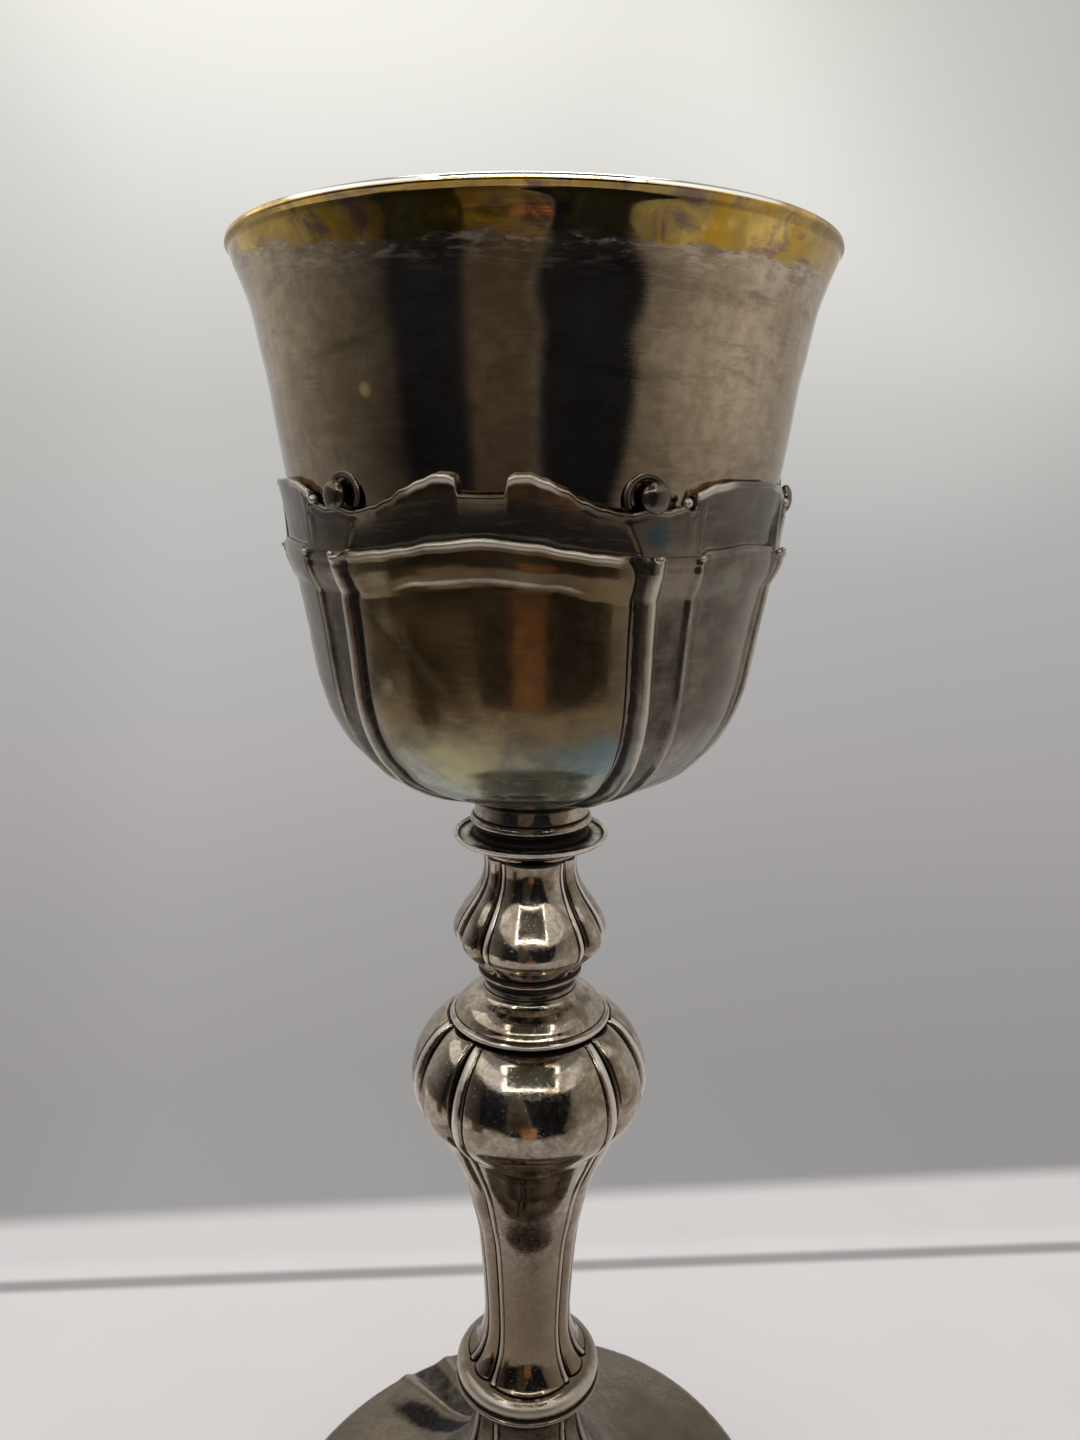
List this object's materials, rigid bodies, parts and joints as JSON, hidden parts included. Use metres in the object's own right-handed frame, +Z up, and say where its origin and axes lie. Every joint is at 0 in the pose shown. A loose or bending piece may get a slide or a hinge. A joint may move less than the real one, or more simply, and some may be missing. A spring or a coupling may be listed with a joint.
{
  "type": "chalice",
  "caption": "Stemmed ceremonial cup: flared bowl in a scroll-edged calyx, lobed baluster stem with knops, and a hollow domed foot.",
  "frame": {"origin": "centre of the foot's flat underside, on the surface the chalice stands on", "axes": "+Z up along the axis of the stem; the side that the picture shows faces -Y"},
  "size_m": [0.124, 0.1238, 0.255],
  "materials": {
    "cup_silver_gilt": "old silver with fine turning scratches, worn gilding on the rim and inside",
    "calyx_silver": "polished silver with an olive and blue tarnish",
    "stem_silver": "polished silver with dark grooves",
    "foot_silver": "dull, rubbed silver with grey tarnish"
  },
  "bodies": {
    "root": {"cup": "cup_silver_gilt", "calyx": "calyx_silver", "collar": "stem_silver", "upper_knop": "stem_silver", "knop_cap": "stem_silver", "pear_knop": "stem_silver", "base_ring": "stem_silver", "foot": "foot_silver"}
  },
  "joints": []
}
